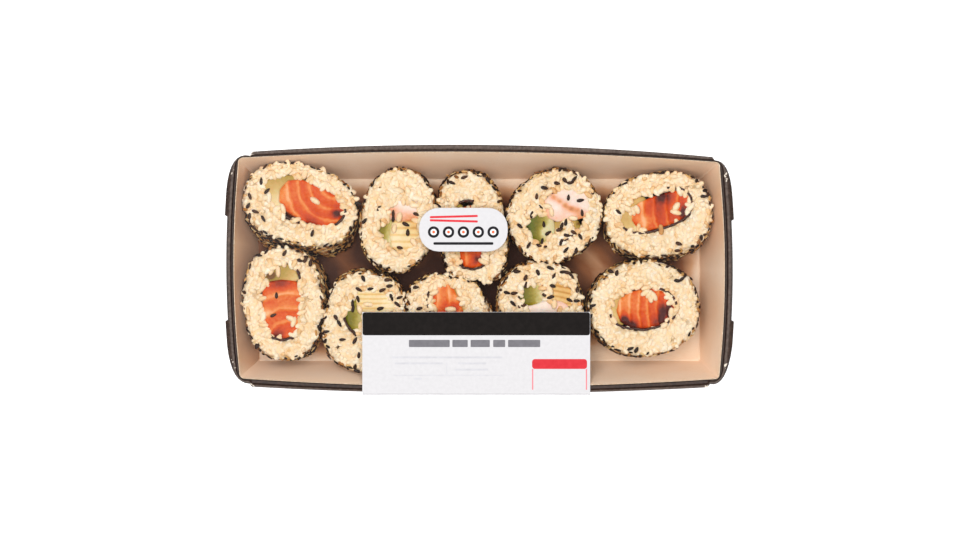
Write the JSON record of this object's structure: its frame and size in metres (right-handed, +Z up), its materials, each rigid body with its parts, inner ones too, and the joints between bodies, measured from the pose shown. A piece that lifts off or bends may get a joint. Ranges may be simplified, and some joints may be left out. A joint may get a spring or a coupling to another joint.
{
  "type": "takeaway sushi tray",
  "caption": "Shallow folded paperboard tray with flaring walls, filled with inside-out sushi rolls standing on end, under a clear sealed film with a small sticker and a bent-over price label.",
  "frame": {"origin": "on the table, under the centre of the bounding box", "axes": "+X along the tray, +Y to the back (the price label hangs over the front), +Z up"},
  "size_m": [0.2123, 0.1042, 0.0346],
  "materials": {
    "board": "black outside, bare brown board inside",
    "film": "clear, glossy",
    "sticker": "coated white paper",
    "label": "white thermal paper with a black band and a red frame",
    "rice": "moist cooked brown rice with sesame",
    "sesame": "roasted black seeds, slightly glossy",
    "nori": "moist seaweed sheet",
    "salmon": "moist raw fish with pale stripes",
    "avocado": "soft and moist",
    "shrimp": "moist, white with orange streaks",
    "omelette": "soft, fine pores",
    "cucumber": "crisp and moist, with a dark skin"
  },
  "bodies": {
    "root": {"tray": "board", "film": "film", "sticker": "sticker", "label": "label", "rice_01": "rice", "nori_01": "nori", "salmon_01": "salmon", "avocado_01": "avocado", "rice_02": "rice", "nori_02": "nori", "shrimp_02": "shrimp", "omelette_02": "omelette", "cucumber_02": "cucumber", "rice_03": "rice", "nori_03": "nori", "salmon_03": "salmon", "avocado_03": "avocado", "rice_04": "rice", "nori_04": "nori", "shrimp_04": "shrimp", "cucumber_04": "cucumber", "avocado_04": "avocado", "rice_05": "rice", "nori_05": "nori", "salmon_05": "salmon", "avocado_05": "avocado", "rice_06": "rice", "nori_06": "nori", "salmon_06": "salmon", "avocado_06": "avocado", "rice_07": "rice", "nori_07": "nori", "omelette_07": "omelette", "cucumber_07": "cucumber", "shrimp_07": "shrimp", "rice_08": "rice", "nori_08": "nori", "salmon_08": "salmon", "avocado_08": "avocado", "rice_09": "rice", "nori_09": "nori", "cucumber_09": "cucumber", "shrimp_09": "shrimp", "omelette_09": "omelette", "rice_10": "rice", "nori_10": "nori", "salmon_10": "salmon", "avocado_10": "avocado"}
  },
  "joints": []
}
